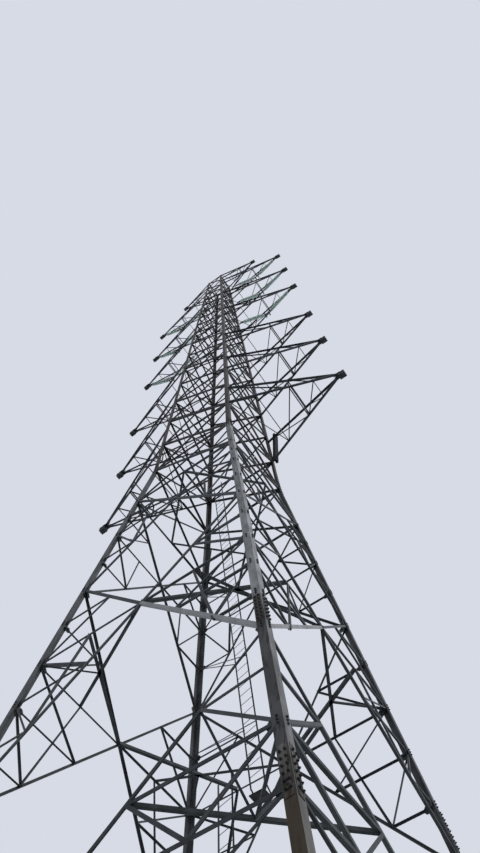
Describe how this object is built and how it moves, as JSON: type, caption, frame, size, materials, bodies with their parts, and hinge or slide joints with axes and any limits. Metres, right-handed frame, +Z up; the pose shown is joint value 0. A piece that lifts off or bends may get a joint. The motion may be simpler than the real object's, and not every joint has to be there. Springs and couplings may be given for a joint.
{
  "type": "lattice transmission pylon, scale model at 1:2",
  "caption": "Tapered four-legged lattice steel tower with crossarms on both sides, an earth wire arm at the top and glass insulator strings hung in a V; scale model at 1:2.",
  "frame": {"origin": "middle of the near leg's base plate, on its underside", "axes": "+Z up, +X along the crossarms towards the near and right legs, +Y along the line"},
  "size_m": [5.89, 4.606, 32.4],
  "materials": {
    "leg_steel": "weathered galvanised steel angle, with brown rust on the near leg",
    "brace_steel": "dull grey weathered galvanised steel angle",
    "arm_steel": "dark grey weathered galvanised steel angle",
    "string_glass": "pale green glass discs, with galvanised ears, pins and yoke"
  },
  "bodies": {
    "root": {"back_face_middle": "brace_steel", "back_face_upper": "brace_steel", "far_base_braces": "brace_steel", "far_lower_leg": "leg_steel", "far_upper_leg": "leg_steel", "front_face_middle": "brace_steel", "front_face_upper": "brace_steel", "left_base_braces": "brace_steel", "left_earth_wire_arm": "arm_steel", "left_face_middle": "brace_steel", "left_face_upper": "brace_steel", "left_fifth_arm": "arm_steel", "left_fifth_vee_string": "string_glass", "left_first_arm": "arm_steel", "left_fourth_arm": "arm_steel", "left_fourth_vee_string": "string_glass", "left_lower_leg": "leg_steel", "left_second_arm": "arm_steel", "left_sixth_arm": "arm_steel", "left_sixth_vee_string": "string_glass", "left_third_arm": "arm_steel", "left_upper_leg": "leg_steel", "lower_plan_brace": "brace_steel", "middle_plan_brace": "brace_steel", "near_base_braces": "brace_steel", "near_lower_leg": "leg_steel", "near_upper_leg": "leg_steel", "right_base_braces": "brace_steel", "right_earth_wire_arm": "arm_steel", "right_face_middle": "brace_steel", "right_face_upper": "brace_steel", "right_fifth_arm": "arm_steel", "right_fifth_vee_string": "string_glass", "right_first_arm": "arm_steel", "right_fourth_arm": "arm_steel", "right_fourth_vee_string": "string_glass", "right_lower_leg": "leg_steel", "right_second_arm": "arm_steel", "right_sixth_arm": "arm_steel", "right_sixth_vee_string": "string_glass", "right_third_arm": "arm_steel", "right_upper_leg": "leg_steel", "waist_plan_brace": "brace_steel"}
  },
  "joints": []
}
